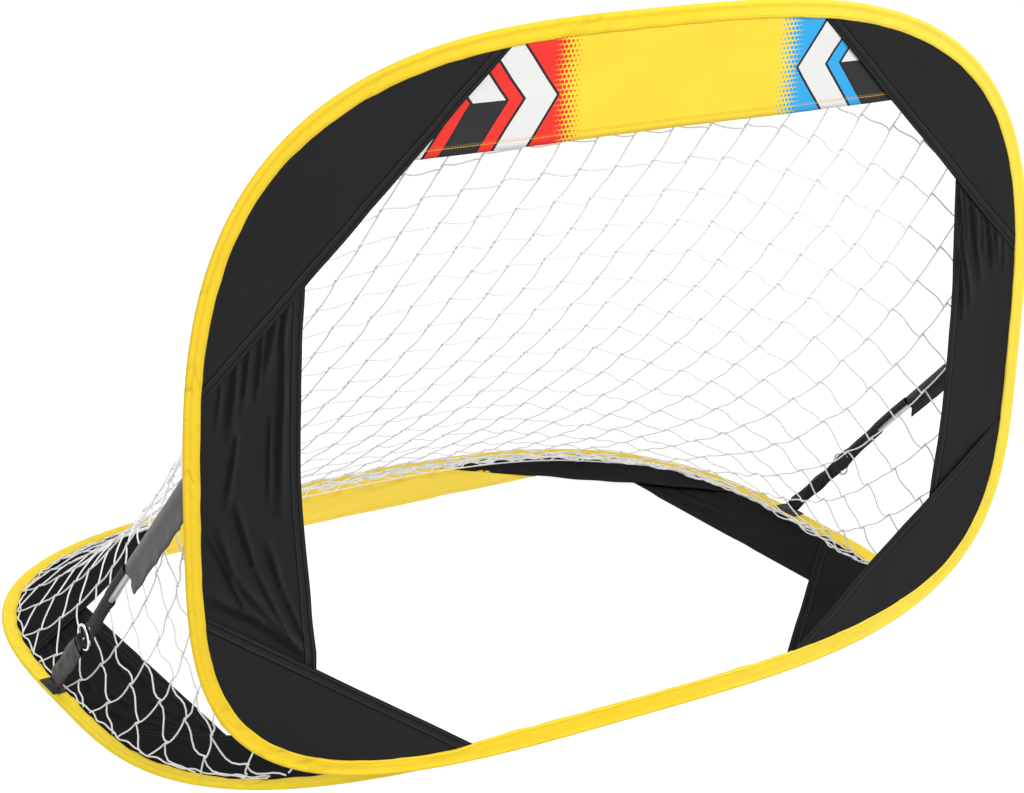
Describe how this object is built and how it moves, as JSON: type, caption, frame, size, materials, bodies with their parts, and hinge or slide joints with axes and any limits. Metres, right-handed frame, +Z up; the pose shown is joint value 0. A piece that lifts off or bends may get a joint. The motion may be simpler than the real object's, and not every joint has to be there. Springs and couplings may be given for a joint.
{
  "type": "folding soccer goal",
  "caption": "Folding soccer goal: an upright sprung hoop hinged to a lying one, with corner panels, a hung net and two side stays.",
  "frame": {"origin": "on the ground, in the middle of the footprint", "axes": "+X along the goal's bottom edge, +Y from the mouth to the rear, +Z up"},
  "size_m": [1.1994, 0.8872, 0.8794],
  "materials": {
    "yellow_fabric": "woven polyester, satin",
    "black_fabric": "woven polyester, satin",
    "net_cord": "knotted white twine",
    "spring_steel": "drawn wire",
    "stay_rod": "pale grey fibreglass rod",
    "ring_steel": "polished"
  },
  "bodies": {
    "base_frame": {"base_banner": "yellow_fabric", "base_hoop_ferrule": "spring_steel", "base_hoop_sleeve": "yellow_fabric", "base_hoop_wire": "spring_steel", "base_left_bottom_corner": "black_fabric", "base_left_side_strip": "black_fabric", "base_left_top_corner": "black_fabric", "base_right_bottom_corner": "black_fabric", "base_right_side_strip": "black_fabric", "base_right_top_corner": "black_fabric", "net": "net_cord", "bottom_seam_tape": "yellow_fabric", "left_stay_base_tab": "black_fabric", "right_stay_base_tab": "black_fabric"},
    "front_frame": {"front_banner": "yellow_fabric", "front_hoop_ferrule": "spring_steel", "front_hoop_sleeve": "yellow_fabric", "front_hoop_wire": "spring_steel", "front_left_bottom_corner": "black_fabric", "front_left_side_strip": "black_fabric", "front_left_top_corner": "black_fabric", "front_right_bottom_corner": "black_fabric", "front_right_side_strip": "black_fabric", "front_right_top_corner": "black_fabric", "left_stay_front_tab": "black_fabric", "right_stay_front_tab": "black_fabric"},
    "left_upper_stay": {"left_stay_pocket": "black_fabric", "left_stay_rod": "stay_rod", "left_stay_strap": "black_fabric", "left_stay_end_pocket": "black_fabric"},
    "left_lower_strap": {"left_stay_ring": "ring_steel", "left_stay_lower_strap": "black_fabric", "left_stay_lower_sleeve": "black_fabric"},
    "right_upper_stay": {"right_stay_pocket": "black_fabric", "right_stay_rod": "stay_rod", "right_stay_strap": "black_fabric", "right_stay_end_pocket": "black_fabric"},
    "right_lower_strap": {"right_stay_ring": "ring_steel", "right_stay_lower_strap": "black_fabric", "right_stay_lower_sleeve": "black_fabric"}
  },
  "joints": [
    {"name": "front_fold", "type": "hinge", "parent": "base_frame", "child": "front_frame", "pos_m": [0, -0.43245, 0.00342], "axis": [-1, 0, 0], "range_deg": [0, 84], "deforming": ["net", "bottom_seam_tape"]},
    {"name": "left_upper_stay_swing", "type": "hinge", "parent": "front_frame", "child": "left_upper_stay", "pos_m": [-0.586, -0.42943, 0.42342], "axis": [0.3574, -0.3574, -0.8629], "range_deg": [0, 99]},
    {"name": "left_lower_strap_swing", "type": "hinge", "parent": "base_frame", "child": "left_lower_strap", "pos_m": [-0.58955, -0.01617, 0.01016], "axis": [-0.3574, 0.8629, 0.3574], "range_deg": [0, 99]},
    {"name": "right_upper_stay_swing", "type": "hinge", "parent": "front_frame", "child": "right_upper_stay", "pos_m": [0.586, -0.42943, 0.42342], "axis": [0.3574, 0.3574, 0.8629], "range_deg": [0, 99]},
    {"name": "right_lower_strap_swing", "type": "hinge", "parent": "base_frame", "child": "right_lower_strap", "pos_m": [0.58955, -0.01617, 0.01016], "axis": [-0.3574, -0.8629, -0.3574], "range_deg": [0, 99]}
  ],
  "couplings": [
    {"joint": "left_upper_stay_swing", "follows": "front_fold", "ratio": 1.1717},
    {"joint": "left_lower_strap_swing", "follows": "front_fold", "ratio": 1.1717},
    {"joint": "right_upper_stay_swing", "follows": "front_fold", "ratio": 1.1717},
    {"joint": "right_lower_strap_swing", "follows": "front_fold", "ratio": 1.1717}
  ]
}
